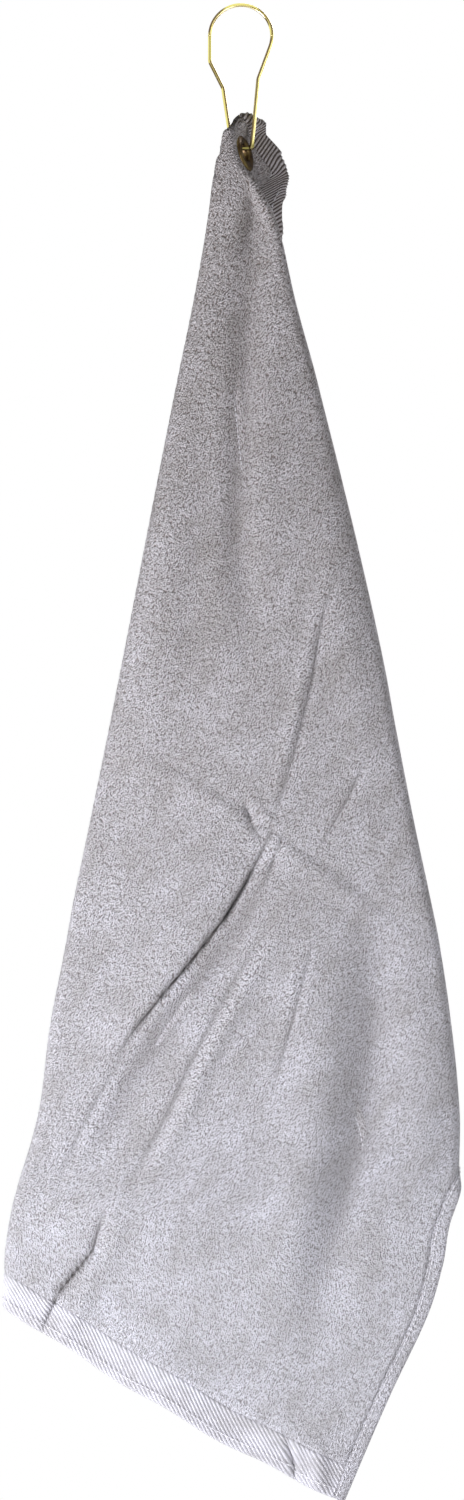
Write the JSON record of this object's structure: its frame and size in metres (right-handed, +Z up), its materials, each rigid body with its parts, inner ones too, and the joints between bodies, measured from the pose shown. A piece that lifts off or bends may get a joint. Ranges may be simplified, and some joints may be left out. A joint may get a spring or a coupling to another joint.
{
  "type": "golf towel",
  "caption": "Terry golf towel hung by one corner: folded cloth with woven end bands and hems, a corner grommet, and a pear-shaped wire hook with a springy latch leg.",
  "frame": {"origin": "inside of the wire at the top of the hook's loop, where the hook bears on what holds it", "axes": "+Z up along the hanging towel's plumb line, -Y towards the front of the towel, +X to its right as seen from the front"},
  "size_m": [0.2454, 0.0298, 0.7977],
  "materials": {
    "terry": "sheared terry pile, light heather grey",
    "band": "flat woven band with fine diagonal ribs",
    "hem": "folded and stitched terry edge",
    "thread": "cotton sewing thread",
    "hook_brass": "bright brass-plated wire",
    "grommet_bronze": "antique bronze plating"
  },
  "bodies": {
    "hook": {"hook_frame": "hook_brass"},
    "latch": {"hook_latch": "hook_brass"},
    "neck": {"grommet_eyelet": "grommet_bronze", "grommet_washer": "grommet_bronze", "neck_cloth": "terry"},
    "drape": {"front_panel": "terry", "lower_band_front": "band", "side_hem_front": "hem", "tucked_panel": "terry", "lower_band_tucked": "band", "side_hem_tucked": "hem", "pleat_panel": "terry", "side_hem_pleat": "hem", "flap_panel": "terry", "upper_band": "band", "side_hem_flap": "hem", "left_fold": "terry", "right_fold": "terry", "pleat_fold": "terry", "lower_stitching": "thread", "side_stitching": "thread", "upper_stitching": "thread", "tucked_stitching": "thread"}
  },
  "joints": [
    {"name": "latch_flex", "type": "hinge", "parent": "hook", "child": "latch", "pos_m": [0, 0, 0.001], "axis": [0, -1, 0], "range_deg": [0, 16], "stiffness_Nm_per_rad": 0.25},
    {"name": "grommet_swing", "type": "hinge", "parent": "hook", "child": "neck", "pos_m": [0, 0, -0.0757], "axis": [1, 0, 0], "range_deg": [-25, 25]},
    {"name": "towel_sway", "type": "hinge", "parent": "neck", "child": "drape", "pos_m": [0.0002, 0, -0.101], "axis": [0, 1, 0], "range_deg": [-25, 25]}
  ]
}
